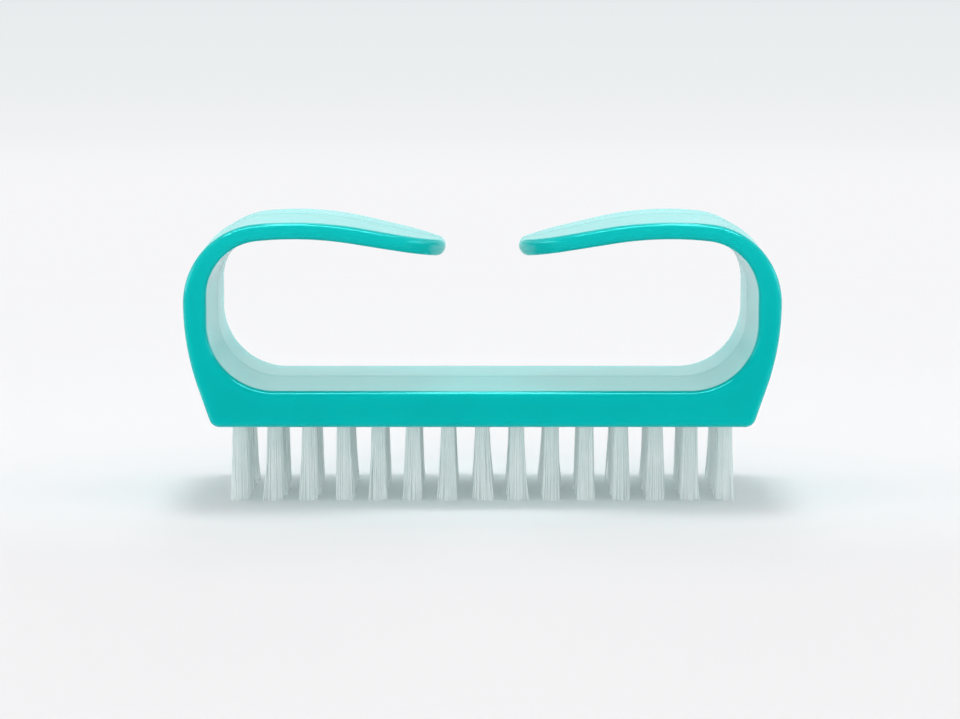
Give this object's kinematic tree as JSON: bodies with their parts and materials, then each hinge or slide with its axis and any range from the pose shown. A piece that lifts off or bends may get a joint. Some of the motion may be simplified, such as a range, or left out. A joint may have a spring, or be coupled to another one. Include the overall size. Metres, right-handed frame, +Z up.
{
  "type": "nail brush",
  "caption": "Glossy teal nail brush: a flat base, arms that arch over it from each end and leave a gap between their tips, and short off-white nylon tufts below.",
  "frame": {"origin": "on the surface that the bristle tips rest on, in the middle of the brush", "axes": "+X along the brush, +Y from the front face to the back face, +Z up from the bristle tips to the arms"},
  "size_m": [0.095, 0.036, 0.0453],
  "materials": {
    "teal_plastic": "glossy moulded polypropylene",
    "nylon": "translucent nylon filament",
    "wire": "flat drawn wire"
  },
  "bodies": {
    "root": {"handle": "teal_plastic", "front_tuft_row": "nylon", "second_tuft_row": "nylon", "middle_tuft_row": "nylon", "fourth_tuft_row": "nylon", "back_tuft_row": "nylon", "front_anchor_row": "wire", "second_anchor_row": "wire", "middle_anchor_row": "wire", "fourth_anchor_row": "wire", "back_anchor_row": "wire"}
  },
  "joints": []
}
